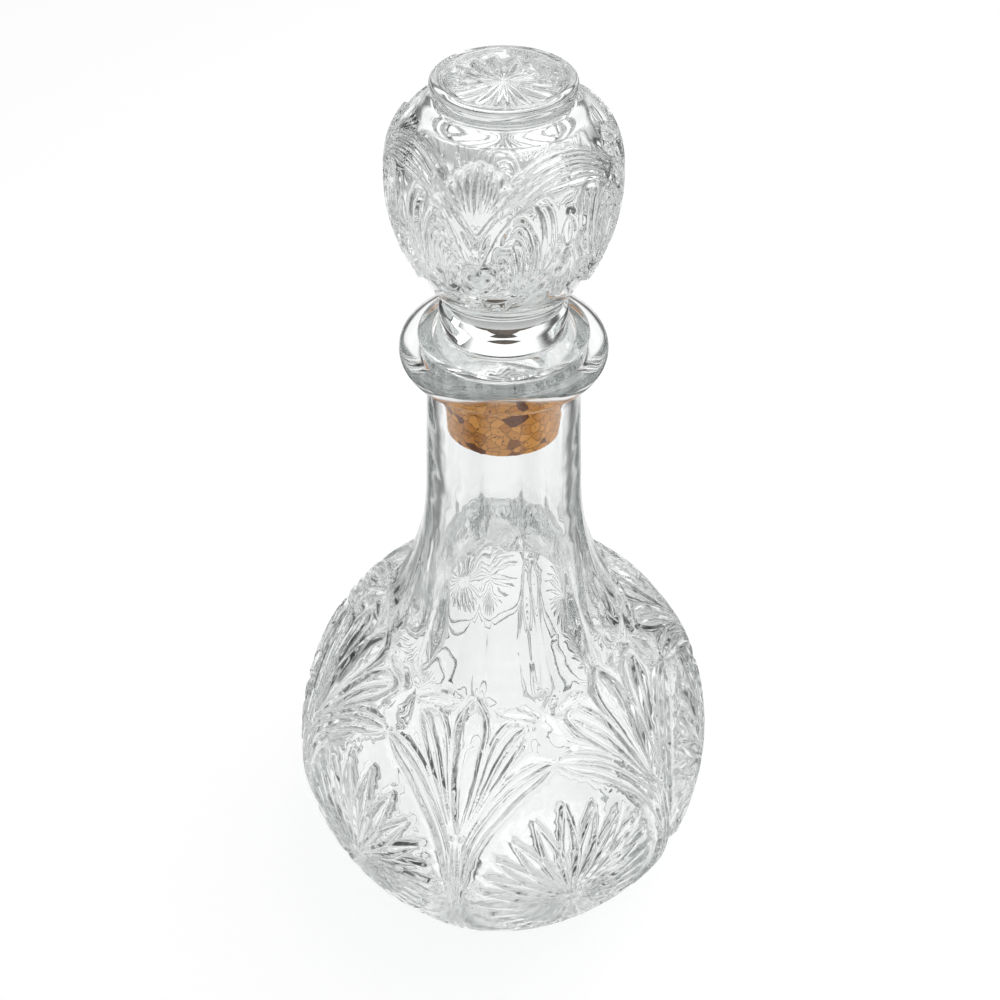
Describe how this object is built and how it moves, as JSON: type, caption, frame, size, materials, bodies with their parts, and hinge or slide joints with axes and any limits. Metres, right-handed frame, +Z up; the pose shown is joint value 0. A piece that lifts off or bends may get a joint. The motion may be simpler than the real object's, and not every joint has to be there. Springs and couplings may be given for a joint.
{
  "type": "decanter",
  "caption": "Round-bodied pressed glass decanter with fluted neck, palmette and sunburst relief, and a hollow glass stopper on a tapered cork plug.",
  "frame": {"origin": "centre of the flat ring that the bottle stands on", "axes": "+Z up along the axis of the bottle and stopper, -Y through the middle of one palmette of the globe"},
  "size_m": [0.1082, 0.1098, 0.2287],
  "materials": {
    "bottle_glass": "clear fire-polished pressed glass",
    "stopper_glass": "clear fire-polished pressed glass",
    "cork": "matt agglomerated cork"
  },
  "bodies": {
    "bottle": {"bottle": "bottle_glass"},
    "stopper": {"glass_stopper": "stopper_glass", "cork_plug": "cork"}
  },
  "joints": [
    {"name": "stopper_lift", "type": "slide", "parent": "bottle", "child": "stopper", "axis": [0, 0, 1], "range_m": [0, 0.05]}
  ]
}
